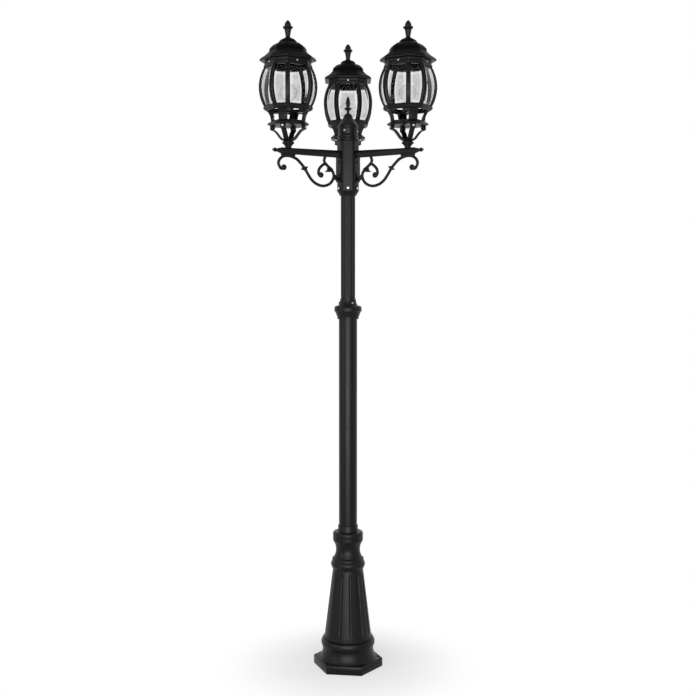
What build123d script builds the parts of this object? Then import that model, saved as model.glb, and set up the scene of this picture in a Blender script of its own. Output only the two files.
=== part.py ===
from build123d import *
import os
from math import asin, cos, degrees, radians, sin, sqrt

# Triple head lamp post, in millimetres. The origin is on the pole's axis, at ground level.
# X runs to the right, Y to the rear and Z up. One arm points to the rear, one to the front
# left and one to the front right. An arm and its lantern are drawn along +X and then turned.
# Round castings are drawn with flat sides, few enough to keep the facets of the whole low.

# ---- Driving dimensions ----

# Fits and facets
FIT_GAP = 0.1
FLAT_LIMIT = 1e-6
POST_SIDES = 24
HOLLOW_SIDES = 12
HEAD_SIDES = 12
SMALL_SIDES = 10
FINIAL_SIDES = 8
SCREW_HEAD_SIDES = 6
SHANK_SIDES = 4

# Screws: head radius, head height and shank radius
SET_SCREW = (3.4, 2.6, 1.9)
CLAMP_SCREW = (5.0, 3.0, 2.4)
CAP_SCREW = (3.6, 2.4, 1.9)
ARM_SCREW = (5.0, 3.4, 2.9)
ROOF_SCREW = (3.6, 2.2, 1.9)
FOOT_SCREW = (4.2, 2.6, 1.9)

# Foot and base
FOOT_CORNER_RADIUS = 127.0
FOOT_HEIGHT = 32.0
FOOT_TURN = -7.5
FOOT_CHAMFER = 2.5
ANCHOR_CIRCLE_RADIUS = 113.0
ANCHOR_HOLE_RADIUS = 4.5
ANCHOR_COUNT = 3
BELL_RADIUS = 104.0
BELL_INNER_RADIUS = 86.0
FOOT_CASTING_TOP = 104.0
SHAFT_FOOT_RADIUS = 88.0
TAPER_FOOT = (84.3, 120.0)
TAPER_HEAD = (55.1, 359.0)
FLUTE_COUNT = 12
FLUTE_FIRST = -82.5
FLUTE_RADIUS = 6.4
FLUTE_DEPTH = 3.6
FLUTE_BOTTOM = 124.0
FLUTE_TOP = 346.0
CASTING_WALL = 6.0
CASTING_TOP = 404.0
COUPLING_SPIGOT_RADIUS = 44.6
COUPLING_FLOOR = 387.0
CABLE_HOLE_RADIUS = 25.0
POLE_SEAT = 395.0
BASE_TOP = 498.0

# Poles and the collars round them
LOWER_POLE_RADIUS = 33.0
LOWER_POLE_TOP = 1300.0
RIM_RADIUS = 36.0
RIM_TOP = 521.0
UPPER_POLE_RADIUS = 25.8
UPPER_POLE_SEAT = 1306.0
UPPER_POLE_TOP = 1745.0
POLE_WALL = 4.0
POLE_WAY = UPPER_POLE_RADIUS - POLE_WALL
POLE_FLUTE_COUNT = 20
POLE_FLUTE_WIDTH = 4.6
POLE_FLUTE_DEPTH = 1.0
POLE_FLUTE_BOTTOM = 1352.0
COLLAR_BOTTOM = 1272.0
COLLAR_TOP = 1345.0
COLLAR_SCREW_ANGLES = (180.0, -60.0, 60.0)
SET_SCREW_HEIGHT = 1330.0
SET_SCREW_SEAT = 32.4
SET_SCREW_BOSS_RADIUS = 5.0

# Hub and its cap
HUB_BOTTOM = 1712.0
HUB_CORE_BOTTOM = 1728.0
HUB_CORE_TOP = 1905.0
HUB_TOP = 1930.0
HUB_CORNER_RADIUS = 41.0
HUB_FLAT = HUB_CORNER_RADIUS * cos(radians(30))
HUB_EDGE_ROUND = 8.0
HUB_SPIGOT_RADIUS = 30.5
HUB_SPIGOT_TOP = 1946.0
HUB_FLAT_ANGLES = [30.0 + index * 60.0 for index in range(6)]
BOSS_RADIUS = 7.0
BOSS_REACH = HUB_FLAT + 3.0
BOSS_HEIGHT = 1738.0
CAP_SKIRT_RADIUS = 33.8
CAP_SCREW_HEIGHT = 1941.0
CAP_SCREW_ANGLES = [-112.0 + index * 120.0 for index in range(3)]
CAP_TOP = 2002.0

# Arms
ARM_ANGLES = {"left": -150.0, "right": -30.0, "rear": 90.0}
LANTERN_REACH = 238.0
PLATE_THICK = 4.0
PLATE_WIDTH = 37.0
PLATE_BOTTOM = 1758.0
PLATE_TOP = 1862.0
PLATE_CORNER = 6.0
BEAM_BOTTOM = 1846.0
BEAM_TOP = 1867.4
BEAM_ROOT_TOP = 1870.5
BEAM_ROOT_DROP = 1.0
BEAM_RIDGE = 7.6
BEAM_FLAT = 4.6
BEAM_EVEN_FROM = 200.0
ARM_SCREW_HEIGHTS = (1785.0, 1829.0)
BAR_WIDTH = 9.6
BAR_DEPTH = 9.0
CURL_RADIUS = 10.0
MAIN_CURVE_STEPS = 28
INNER_CURVE_STEPS = 6

# Lantern cage
WIDE_HALF_ANGLE = 27.5
CORNER_ANGLES = [quarter * 90.0 + side * WIDE_HALF_ANGLE for quarter in range(4) for side in (-1, 1)]
WIDE_ANGLES = [index * 90.0 for index in range(4)]
NARROW_ANGLES = [45.0 + index * 90.0 for index in range(4)]
CAGE_ARC_RADIUS = 132.0
CAGE_ARC_CENTRE = -32.0
CAGE_ARC_HEIGHT = 2073.0
CAGE_BOTTOM = 2009.0
CAGE_TOP = 2139.0
CAGE_BANDS = 4
RIB_WIDTH = 16.0
RIB_THICK = 6.0
PANE_SETBACK = 2.0
PANE_THICK = 3.0
CAGE_RING_TOP = 2146.0
CAGE_RING_RADIUS = 84.0
CAGE_RING_INNER = 70.0

# Roof
ROOF_GAP = 0.4
SKIRT_RADIUS = 81.0
SKIRT_INNER = 77.5
SPIGOT_RADIUS = 76.7
ROOF_SCREW_HEIGHT = 2154.0
SOFFIT = 2161.0
EAVE_RADIUS = 97.9
ROOF_TOP = 2240.0
LANTERN_TOP = 2300.0

# Crown, braces and lampholder
CROWN_FLOOR = 1942.0
CROWN_FLOOR_THICK = 5.0
LEAD_HOLE_RADIUS = 6.0
LEG_WIDTH = 31.0
LEG_THICK = 4.5
COLLAR_FLANGE_RADIUS = 21.5
BRACE_WIDTH = 17.0
TAB_INNER = 57.8
TAB_OUTER = 63.5
LUG_INNER = 50.0
LUG_BOTTOM = 1932.0
FOOT_SCREW_HEIGHT = 1936.5
FOOT_SCREW_TIP = 51.0
BRIDGE_WIDTH = 30.0
BRIDGE_TOP = 1990.0
BRIDGE_THICK = 4.0
BRIDGE_TAB_HEIGHT = 14.0
BRIDGE_TAB_THICK = 3.0
BRIDGE_HOLE_RADIUS = 5.0
HOLDER_RADIUS = 19.0
HOLDER_BORE = 14.8
HOLDER_TOP = 2012.0
BULB_RADIUS = 30.0
BULB_CENTRE = 2055.0
BULB_NECK_RADIUS = 14.0
BULB_NECK = 2013.0
BULB_BANDS = 5
BULB_CAP_RADIUS = 13.4
BULB_CAP_BOTTOM = 1994.0


# ---- Shared shapes ----

def even_corners(sides):
    """Angles of the corners of a regular polygon."""
    return [index * 360.0 / sides for index in range(sides)]


def flats_at(radius, sides):
    """Corner radius of a regular polygon whose flats lie at a radius."""
    return radius / cos(radians(180.0 / sides))


def ring_points(corners, radius, height):
    """Corner points at one height, all at one distance from the axis."""
    return [Vector(radius * cos(radians(angle)), radius * sin(radians(angle)), height) for angle in corners]


def flat_faces(low, high):
    """Flat faces from one ring of points to the next: two triangles where a side is twisted."""
    faces = []
    for a, b, c, d in zip(low, low[1:] + low[:1], high[1:] + high[:1], high):
        is_flat = abs((b - a).cross(d - a).dot(c - a)) < FLAT_LIMIT
        outlines = [(a, b, c, d)] if is_flat else [(a, b, c), (a, c, d)]
        faces += [Face(Wire.make_polygon(outline)) for outline in outlines]
    return faces


def skin(rings):
    """Solid through rings of points, closed by a flat face at each end."""
    faces = [Face(Wire.make_polygon(rings[0])), Face(Wire.make_polygon(rings[-1]))]
    for low, high in zip(rings, rings[1:]):
        faces += flat_faces(low, high)
    return Solid(Shell(faces))


def stack(levels, corners):
    """Flat-sided solid through a polygon of each (radius, height) level."""
    return skin([ring_points(corners, radius, height) for radius, height in levels])


def octagon_stack(levels):
    """Solid with the lantern's eight sides."""
    return stack(levels, CORNER_ANGLES)


def round_stack(levels, sides=SMALL_SIDES):
    """Turned solid with a few flat sides."""
    return stack(levels, even_corners(sides))


def ring_solid(outline, sides):
    """Turned ring with flat sides, from its closed (radius, height) outline."""
    rings = [ring_points(even_corners(sides), radius, height) for radius, height in outline]
    faces = []
    for low, high in zip(rings, rings[1:] + rings[:1]):
        faces += flat_faces(low, high)
    return Solid(Shell(faces))


def bore(radius, bottom, top, sides):
    """Space of a round hole up the axis, its flats at the hole's radius."""
    corner = flats_at(radius, sides)
    return round_stack([(corner, bottom), (corner, top)], sides)


def arc_points(start, middle, end, steps):
    """Points along the arc through three (radius, height) points."""
    line = ThreePointArc(start, middle, end)
    places = [line @ (index / steps) for index in range(steps + 1)]
    return [(place.X, place.Y) for place in places]


def around(shape, angles):
    """Copies of a shape turned about the Z axis."""
    return [Rot(0, 0, angle) * shape for angle in angles]


def radial_prism(radius, inner, outer, height, sides):
    """Polygonal pin along +X from one distance from the axis to another."""
    face = Plane(origin=(inner, 0, height), z_dir=(1, 0, 0)) * RegularPolygon(radius, sides)
    return extrude(face, amount=outer - inner)


def radial_screw(size, seat, tip, height):
    """Screw along -X, its head on a seat and its tip nearer the axis."""
    head_radius, head_height, shank_radius = size
    head = radial_prism(head_radius, seat, seat + head_height, height, SCREW_HEAD_SIDES)
    return head + radial_prism(shank_radius, tip, seat, height, SHANK_SIDES)


def screw_hole(size, inner, outer, height):
    """Space of a screw's shank, a fit's gap wider than the screw."""
    return radial_prism(size[2] + FIT_GAP, inner, outer, height, SHANK_SIDES)


# ---- Post ----

def hollow_radius(height):
    """Corner radius of the base's hollow at a height between the foot plate and the taper's head."""
    inner_foot = TAPER_FOOT[0] - FLUTE_DEPTH - CASTING_WALL
    rise = (height - FOOT_HEIGHT) / (TAPER_FOOT[1] - FOOT_HEIGHT)
    return BELL_INNER_RADIUS + (inner_foot - BELL_INNER_RADIUS) * rise


def flute_cutter():
    """Round-ended trough along the taper, above the +X axis."""
    facet = cos(radians(180.0 / POST_SIDES))
    slope = (TAPER_HEAD[0] - TAPER_FOOT[0]) * facet / (TAPER_HEAD[1] - TAPER_FOOT[1])
    lift = FLUTE_RADIUS - FLUTE_DEPTH
    start = TAPER_FOOT[0] * facet + (FLUTE_BOTTOM - TAPER_FOOT[1]) * slope + lift
    length = (FLUTE_TOP - FLUTE_BOTTOM) * sqrt(1 + slope ** 2)
    end_radius = FLUTE_RADIUS / 2
    trough = stack([(end_radius, 0), (FLUTE_RADIUS, end_radius), (FLUTE_RADIUS, length - end_radius),
                    (end_radius, length)], [22.5 + angle for angle in even_corners(8)])
    return Plane(origin=(start, 0, FLUTE_BOTTOM), x_dir=(0, 1, 0), z_dir=(slope, 0, 1)) * trough


def base_foot():
    """Hexagonal foot plate and hollow bell with a torus, in one casting."""
    foot = extrude(Rot(0, 0, FOOT_TURN) * RegularPolygon(FOOT_CORNER_RADIUS, 6), amount=FOOT_HEIGHT)
    foot = chamfer(foot.faces().sort_by(Axis.Z)[-1].edges(), FOOT_CHAMFER)
    hole = Pos(ANCHOR_CIRCLE_RADIUS, 0, 0) * Cylinder(ANCHOR_HOLE_RADIUS, 3 * FOOT_HEIGHT)
    foot -= around(hole, [FOOT_TURN + index * 120.0 for index in range(ANCHOR_COUNT)])
    waist = arc_points((BELL_RADIUS, FOOT_HEIGHT), (95.3, 49.0), (92.0, 72.0), 3)
    torus = arc_points((92.0, 72.0), (98.6, 87.0), (94.6, 102.0), 3)[1:]
    bell = round_stack([(BELL_RADIUS, 0), *waist, *torus, (SHAFT_FOOT_RADIUS, FOOT_CASTING_TOP)], POST_SIDES)
    hollow = round_stack([(BELL_INNER_RADIUS, -1.0), (BELL_INNER_RADIUS, FOOT_HEIGHT),
                          (hollow_radius(FOOT_CASTING_TOP), FOOT_CASTING_TOP)], HOLLOW_SIDES)
    return bell + foot - hollow


def base_shaft():
    """Fluted hollow taper with a double bead, on the foot casting's rim."""
    bead = arc_points((57.7, 367.0), (62.2, 380.0), (56.4, 390.0), 3)
    body = round_stack([(SHAFT_FOOT_RADIUS, FOOT_CASTING_TOP), (88.0, 112.0), (84.5, 116.0), TAPER_FOOT, TAPER_HEAD,
                        *bead, (57.4, 393.0), (57.0, 399.0), (50.7, CASTING_TOP)], POST_SIDES)
    spigot = flats_at(COUPLING_SPIGOT_RADIUS + FIT_GAP, HOLLOW_SIDES)
    body -= round_stack([(hollow_radius(FOOT_CASTING_TOP), FOOT_CASTING_TOP), (hollow_radius(TAPER_FOOT[1]), TAPER_FOOT[1]),
                         (spigot, TAPER_HEAD[1]), (spigot, CASTING_TOP + 1.0)], HOLLOW_SIDES)
    flutes = around(flute_cutter(), [FLUTE_FIRST + index * 360.0 / FLUTE_COUNT for index in range(FLUTE_COUNT)])
    return body - flutes


def base_coupling():
    """Waisted collar on the base: spigot below, seat and socket for the lower pole inside, thin rim on top."""
    socket = flats_at(LOWER_POLE_RADIUS + FIT_GAP, HEAD_SIDES)
    waist = arc_points((50.7, CASTING_TOP), (43.8, 432.0), (54.5, 464.0), 4)
    drum = [(55.0, 476.5), (53.9, 478.0), (55.0, 479.5), (55.0, 490.0), (52.6, 495.5), (47.5, BASE_TOP)]
    rim = [(RIM_RADIUS, BASE_TOP), (RIM_RADIUS, RIM_TOP - 2.0), (RIM_RADIUS - 1.0, RIM_TOP), (socket, RIM_TOP)]
    return ring_solid([(CABLE_HOLE_RADIUS, COUPLING_FLOOR), (COUPLING_SPIGOT_RADIUS, COUPLING_FLOOR),
                       (COUPLING_SPIGOT_RADIUS, CASTING_TOP), *waist, *drum, *rim, (socket, POLE_SEAT),
                       (CABLE_HOLE_RADIUS, POLE_SEAT)], HEAD_SIDES)


def lower_pole():
    """Plain lower tube, from its seat in the base to the coupling."""
    height = LOWER_POLE_TOP - POLE_SEAT
    outer = Cylinder(LOWER_POLE_RADIUS, height, align=(Align.CENTER, Align.CENTER, Align.MIN))
    return Pos(0, 0, POLE_SEAT) * (outer - Cylinder(LOWER_POLE_RADIUS - POLE_WALL, 3 * height))


def coupling_collar():
    """Stepped collar that takes the wide pole from below and the thin one from above."""
    wide = flats_at(LOWER_POLE_RADIUS + FIT_GAP, HEAD_SIDES)
    thin = flats_at(UPPER_POLE_RADIUS + FIT_GAP, HEAD_SIDES)
    collar = ring_solid([(wide, COLLAR_BOTTOM), (38.4, COLLAR_BOTTOM), (38.4, 1275.0), (40.4, 1283.0),
                         (43.8, 1290.0), (46.1, 1298.0), (49.4, 1300.0), (49.4, 1312.0), (45.9, 1319.0),
                         (37.0, 1320.5), (32.0, 1326.0), (29.5, 1334.0), (28.6, COLLAR_TOP), (thin, COLLAR_TOP),
                         (thin, UPPER_POLE_SEAT), (POLE_WAY, UPPER_POLE_SEAT), (POLE_WAY, LOWER_POLE_TOP),
                         (wide, LOWER_POLE_TOP)], HEAD_SIDES)
    boss = radial_prism(SET_SCREW_BOSS_RADIUS, thin + FIT_GAP, SET_SCREW_SEAT, SET_SCREW_HEIGHT, SCREW_HEAD_SIDES)
    hole = screw_hole(SET_SCREW, POLE_WAY, SET_SCREW_SEAT + 1.0, SET_SCREW_HEIGHT)
    return collar + around(boss, COLLAR_SCREW_ANGLES) - around(hole, COLLAR_SCREW_ANGLES)


def collar_screws():
    """Set screws that hold the thin pole in the coupling collar."""
    screw = radial_screw(SET_SCREW, SET_SCREW_SEAT, UPPER_POLE_RADIUS, SET_SCREW_HEIGHT)
    return around(screw, COLLAR_SCREW_ANGLES)


def fluted_outline():
    """Corner points of the thin pole's section, three to a flute."""
    edge = degrees(asin(POLE_FLUTE_WIDTH / 2 / UPPER_POLE_RADIUS))
    corners = [(-edge, UPPER_POLE_RADIUS), (0, UPPER_POLE_RADIUS - POLE_FLUTE_DEPTH), (edge, UPPER_POLE_RADIUS)]
    return [(radius * cos(radians(middle + turn)), radius * sin(radians(middle + turn)))
            for middle in even_corners(POLE_FLUTE_COUNT) for turn, radius in corners]


def upper_pole():
    """Thin fluted tube, from the coupling to the hub."""
    section = Pos(0, 0, POLE_FLUTE_BOTTOM) * Polygon(*fluted_outline(), align=None)
    fluted = extrude(section, amount=UPPER_POLE_TOP - POLE_FLUTE_BOTTOM)
    plain = round_stack([(UPPER_POLE_RADIUS, UPPER_POLE_SEAT), (UPPER_POLE_RADIUS, POLE_FLUTE_BOTTOM)], POST_SIDES)
    way = round_stack([(POLE_WAY, UPPER_POLE_SEAT - 1.0), (POLE_WAY, UPPER_POLE_TOP + 1.0)], HEAD_SIDES)
    return fluted + plain - way


def hub():
    """Six-sided casting with a socket for the pole, screw bosses and a turned head."""
    core = extrude(RegularPolygon(HUB_CORNER_RADIUS, 6), amount=HUB_CORE_TOP - HUB_CORE_BOTTOM)
    core = Pos(0, 0, HUB_CORE_BOTTOM) * fillet(core.edges().filter_by(Axis.Z), HUB_EDGE_ROUND)
    skirt = round_stack([(28.4, HUB_BOTTOM), (38.4, HUB_CORE_BOTTOM), (38.4, HUB_CORE_BOTTOM + 1.0)], HEAD_SIDES)
    head = round_stack([(34.0, HUB_CORE_TOP - 1.0), (34.0, HUB_CORE_TOP), (38.0, 1907.0), (38.0, 1912.0),
                        (35.4, 1914.5), (35.4, 1917.0), (37.2, 1919.5), (37.2, 1924.0), (34.6, 1926.0),
                        (34.6, HUB_TOP)], HEAD_SIDES)
    spigot = round_stack([(HUB_SPIGOT_RADIUS, HUB_TOP - 1.0), (HUB_SPIGOT_RADIUS, HUB_SPIGOT_TOP)], HEAD_SIDES)
    boss = radial_prism(BOSS_RADIUS, HUB_SPIGOT_RADIUS, BOSS_REACH, BOSS_HEIGHT, SCREW_HEAD_SIDES)
    body = core + skirt + head + spigot + around(boss, HUB_FLAT_ANGLES)
    body -= bore(UPPER_POLE_RADIUS + FIT_GAP, HUB_BOTTOM - 1.0, UPPER_POLE_TOP, HEAD_SIDES)
    body -= round_stack([(POLE_WAY, UPPER_POLE_TOP - 1.0), (POLE_WAY, HUB_SPIGOT_TOP + 1.0)], HEAD_SIDES)
    body -= around(screw_hole(CLAMP_SCREW, POLE_WAY, BOSS_REACH + 1.0, BOSS_HEIGHT), HUB_FLAT_ANGLES)
    for height in ARM_SCREW_HEIGHTS:
        body -= around(screw_hole(ARM_SCREW, POLE_WAY - 2.0, HUB_FLAT + 1.0, height), ARM_ANGLES.values())
    return body


def hub_screws():
    """Six screws that clamp the hub on the pole."""
    return around(radial_screw(CLAMP_SCREW, BOSS_REACH, UPPER_POLE_RADIUS, BOSS_HEIGHT), HUB_FLAT_ANGLES)


def hub_cap():
    """Hollow domed cap over the hub's spigot."""
    socket = flats_at(HUB_SPIGOT_RADIUS + FIT_GAP, HEAD_SIDES)
    dome = round_stack([(CAP_SKIRT_RADIUS, HUB_TOP), (CAP_SKIRT_RADIUS, 1950.0), (36.6, 1952.0), (36.6, 1960.0),
                        (27.0, 1974.0), (18.5, 1985.0), (17.0, 1988.0), (15.0, 1994.0), (8.0, CAP_TOP)], HEAD_SIDES)
    hollow = round_stack([(socket, HUB_TOP - 1.0), (socket, 1956.0), (21.0, 1972.0), (13.0, 1982.0)], HEAD_SIDES)
    hole = screw_hole(CAP_SCREW, HUB_SPIGOT_RADIUS - 5.0, CAP_SKIRT_RADIUS + 1.0, CAP_SCREW_HEIGHT)
    return dome - hollow - around(hole, CAP_SCREW_ANGLES)


def cap_screws():
    """Screws that hold the cap on the hub's spigot."""
    screw = radial_screw(CAP_SCREW, CAP_SKIRT_RADIUS, HUB_SPIGOT_RADIUS + FIT_GAP, CAP_SCREW_HEIGHT)
    return around(screw, CAP_SCREW_ANGLES)


def hub_finial():
    """Small spear on top of the hub cap."""
    return round_stack([(5.0, CAP_TOP), (5.0, 2013.0), (13.5, 2018.0), (13.5, 2021.5), (4.6, 2026.0),
                        (8.2, 2036.0), (6.0, 2047.0), (1.0, 2064.0)], FINIAL_SIDES)


# ---- Arms, drawn along +X ----

def beam_section(reach, bottom, top, flat, ridge):
    """Six-sided section of the arm, square to +X, with a ridge along each side."""
    middle = (bottom + top) / 2
    points = [(-flat, bottom), (flat, bottom), (ridge, middle), (flat, top), (-flat, top), (-ridge, middle)]
    return [Vector(reach, across, height) for across, height in points]


def arm():
    """Seat plate, ridged beam and spear tip in one casting."""
    beam = skin([beam_section(HUB_FLAT, BEAM_BOTTOM - BEAM_ROOT_DROP, BEAM_ROOT_TOP, BEAM_FLAT, BEAM_RIDGE),
                 beam_section(BEAM_EVEN_FROM, BEAM_BOTTOM, BEAM_TOP, BEAM_FLAT, BEAM_RIDGE),
                 beam_section(262.0, BEAM_BOTTOM, BEAM_TOP, BEAM_FLAT, BEAM_RIDGE),
                 beam_section(276.0, 1850.0, 1864.4, 3.0, 5.6),
                 beam_section(283.0, 1853.0, 1862.0, 2.0, 3.6),
                 beam_section(289.0, 1850.0, 1866.0, 2.0, 4.4),
                 beam_section(300.0, 1857.0, 1859.0, 0.8, 1.2)])
    seat = Plane(origin=(HUB_FLAT, 0, (PLATE_BOTTOM + PLATE_TOP) / 2), x_dir=(0, 1, 0), z_dir=(1, 0, 0))
    plate = extrude(seat * Rectangle(PLATE_WIDTH, PLATE_TOP - PLATE_BOTTOM), amount=PLATE_THICK)
    plate = chamfer(plate.edges().filter_by(Axis.X), PLATE_CORNER)
    for height in ARM_SCREW_HEIGHTS:
        plate -= screw_hole(ARM_SCREW, HUB_FLAT - 1.0, HUB_FLAT + PLATE_THICK + 1.0, height)
    return beam + plate


def arm_screws():
    """Two screws that hold an arm on the hub."""
    seat = HUB_FLAT + PLATE_THICK
    return [radial_screw(ARM_SCREW, seat, POLE_WAY + 1.0, height) for height in ARM_SCREW_HEIGHTS]


def bar(points, steps):
    """Flat bar along a smooth (x, z) line."""
    line = Spline(*points)
    left = []
    right = []
    for index in range(steps + 1):
        place = line @ (index / steps)
        along = (line % (index / steps)) * (BAR_WIDTH / 2)
        left.append((place.X - along.Y, place.Y + along.X))
        right.append((place.X + along.Y, place.Y - along.X))
    return make_face(Polyline(*left, *reversed(right), close=True))


def curl(centre):
    """Round end of a scroll."""
    return Pos(*centre) * RegularPolygon(CURL_RADIUS, SMALL_SIDES)


def scroll():
    """Wrought scroll that braces the arm from below."""
    main = bar([(93.0, 1845.0), (97.0, 1831.0), (88.0, 1818.0), (68.3, 1802.0), (58.6, 1784.5), (62.5, 1766.0),
                (77.7, 1750.0), (102.0, 1743.0), (127.0, 1748.5), (146.6, 1762.0), (160.0, 1779.0),
                (174.8, 1801.0), (189.4, 1817.0), (208.0, 1832.0), (236.0, 1840.0), (262.0, 1835.0),
                (276.0, 1816.0), (268.0, 1797.0), (255.0, 1795.0)], MAIN_CURVE_STEPS)
    inner = bar([(94.0, 1822.0), (108.0, 1812.0), (118.0, 1799.0), (119.0, 1784.0), (110.0, 1776.0)],
                INNER_CURVE_STEPS)
    seat = HUB_FLAT + PLATE_THICK
    lug = Polygon((seat, 1762.0), (46.0, 1762.0), (62.0, 1774.0), (56.0, 1786.0), (seat, 1775.0), align=None)
    leaf = Polygon((62.0, 1800.0), (78.0, 1792.0), (94.0, 1793.0), (84.0, 1803.0), (74.0, 1812.0), align=None)
    knot = Polygon((187.0, 1795.0), (180.0, 1809.0), (163.5, 1807.0), (170.0, 1793.0), align=None)
    saddle = Polygon((212.0, BEAM_BOTTOM), (214.0, 1834.0), (240.0, 1839.0), (262.0, 1834.0),
                     (266.0, BEAM_BOTTOM), align=None)
    face = main + inner + lug + leaf + knot + saddle + curl((255.0, 1800.0)) + curl((110.0, 1781.0))
    blank = extrude(Plane.XZ * face, amount=BAR_DEPTH / 2, both=True)
    return blank - beam_space()


def beam_space():
    """Space of the beam and above it: its root is a little lower than the rest."""
    top = BEAM_TOP + 20.0
    side = Polygon((HUB_FLAT, BEAM_BOTTOM - BEAM_ROOT_DROP), (BEAM_EVEN_FROM, BEAM_BOTTOM),
                   (LANTERN_REACH + 100.0, BEAM_BOTTOM), (LANTERN_REACH + 100.0, top), (HUB_FLAT, top), align=None)
    return extrude(Plane.XZ * side, amount=BAR_DEPTH, both=True)


# ---- Lantern, drawn about its own axis ----

def cage_radius(height):
    """Corner radius of the glazed cage at a height: a vertical arc."""
    return CAGE_ARC_CENTRE + sqrt(CAGE_ARC_RADIUS ** 2 - (height - CAGE_ARC_HEIGHT) ** 2)


def cage_solid(inset):
    """Solid bulging octagon of the cage, drawn in by an inset."""
    rise = (CAGE_TOP - CAGE_BOTTOM) / CAGE_BANDS
    heights = [CAGE_BOTTOM + index * rise for index in range(CAGE_BANDS + 1)]
    return octagon_stack([(cage_radius(height) - inset, height) for height in heights])


def rib_blocks():
    """Four long upright blocks, each through two opposite corners of the cage."""
    block = Pos(0, 0, (CAGE_BOTTOM + CAGE_TOP) / 2) * Box(300.0, RIB_WIDTH, 2 * (CAGE_TOP - CAGE_BOTTOM))
    return around(block, CORNER_ANGLES[:4])


def ribs():
    """Eight ribs on the corners of the cage."""
    shell = cage_solid(0) - cage_solid(RIB_THICK)
    pieces = []
    for block in rib_blocks():
        pieces += (shell & block).solids()
    return pieces


def panes():
    """Eight bent panes between the ribs."""
    shell = cage_solid(PANE_SETBACK) - cage_solid(PANE_SETBACK + PANE_THICK)
    return (shell - rib_blocks()).solids()


def cage_ring():
    """Ring that closes the cage, with a spigot for the roof."""
    ring = octagon_stack([(82.3, CAGE_TOP), (CAGE_RING_RADIUS, CAGE_TOP + 2.0), (CAGE_RING_RADIUS, CAGE_RING_TOP)])
    spigot = octagon_stack([(SPIGOT_RADIUS, CAGE_RING_TOP - 1.0), (SPIGOT_RADIUS, SOFFIT - 3.0)])
    hole = octagon_stack([(CAGE_RING_INNER, CAGE_TOP - 1.0), (CAGE_RING_INNER, SOFFIT)])
    return ring + spigot - hole


def roof():
    """Hollow roof: small boss, dome, concave flare, eave and skirt."""
    flare = arc_points((88.7, 2175.0), (75.5, 2183.3), (65.5, 2193.0), 3)
    dome = arc_points((63.4, 2203.0), (53.6, 2213.3), (34.5, 2222.5), 3)
    shell = octagon_stack([(EAVE_RADIUS - 1.5, SOFFIT), (EAVE_RADIUS, SOFFIT + 5.0), *flare, *dome,
                           (31.0, 2225.5), (30.6, 2228.5), (24.0, 2234.5), (11.0, ROOF_TOP)])
    skirt = octagon_stack([(SKIRT_RADIUS, CAGE_RING_TOP + ROOF_GAP), (SKIRT_RADIUS, SOFFIT + 1.0)])
    hollow = octagon_stack([(SKIRT_INNER, CAGE_RING_TOP - 5.0), (SKIRT_INNER, SOFFIT + 2.0), (68.0, 2180.0),
                            (59.0, 2193.0), (57.0, 2203.0), (24.0, 2219.0)])
    hole = screw_hole(ROOF_SCREW, 60.0, 90.0, ROOF_SCREW_HEIGHT)
    return shell + skirt - hollow - around(hole, WIDE_ANGLES)


def roof_screws():
    """Four screws through the skirt, on the wide sides."""
    seat = SKIRT_RADIUS * cos(radians(WIDE_HALF_ANGLE))
    tip = SPIGOT_RADIUS * cos(radians(WIDE_HALF_ANGLE)) + ROOF_GAP
    return around(radial_screw(ROOF_SCREW, seat, tip, ROOF_SCREW_HEIGHT), WIDE_ANGLES)


def roof_finial():
    """Tall bud finial on the roof."""
    return round_stack([(10.8, ROOF_TOP), (7.7, 2245.0), (9.0, 2252.0), (11.7, 2268.0), (17.8, 2274.5),
                        (17.8, 2277.0), (11.0, 2279.0), (11.6, 2282.0), (9.6, 2289.0), (5.0, 2297.0),
                        (1.6, LANTERN_TOP)], FINIAL_SIDES)


def leg_levels(inset):
    """Levels of the four legs of the crown, drawn in by an inset."""
    levels = [(76.0, 1994.0), (70.5, 1989.0), (63.0, 1976.0), (60.0, 1950.0)]
    return [(radius - inset, height) for radius, height in levels]


def crown():
    """Crown casting: octagonal dish, four legs, gallery ring and inner lugs."""
    gallery = octagon_stack([(78.0, 1992.0), (83.0, 1996.0), (86.0, 2001.0), (83.6, CAGE_BOTTOM)])
    gallery -= octagon_stack([(70.0, 1991.0), (74.0, CAGE_BOTTOM + 1.0)])
    legs = octagon_stack(leg_levels(0)) - octagon_stack(leg_levels(LEG_THICK))
    strips = [Pos(0, 0, 1970.0) * Rot(0, 0, angle) * Box(200.0, LEG_WIDTH, 80.0) for angle in NARROW_ANGLES[:2]]
    dish = octagon_stack([(66.0, CROWN_FLOOR), (73.0, 1947.5), (68.0, 1951.0), (61.0, 1957.0)])
    dish -= octagon_stack([(57.0, CROWN_FLOOR + CROWN_FLOOR_THICK), (55.5, 1958.0)])
    lug_top = CROWN_FLOOR + 2.0
    lug = Pos((TAB_INNER + LUG_INNER) / 2, 0, (LUG_BOTTOM + lug_top) / 2) * Box(
        TAB_INNER - LUG_INNER, BRACE_WIDTH, lug_top - LUG_BOTTOM)
    body = gallery + dish + around(lug, NARROW_ANGLES)
    for strip in strips:
        body += legs & strip
    body -= around(screw_hole(FOOT_SCREW, LUG_INNER - 1.0, 90.0, FOOT_SCREW_HEIGHT), NARROW_ANGLES)
    return body - bore(LEAD_HOLE_RADIUS, CROWN_FLOOR - 1.0, CROWN_FLOOR + 2 * CROWN_FLOOR_THICK, 8)


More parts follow.
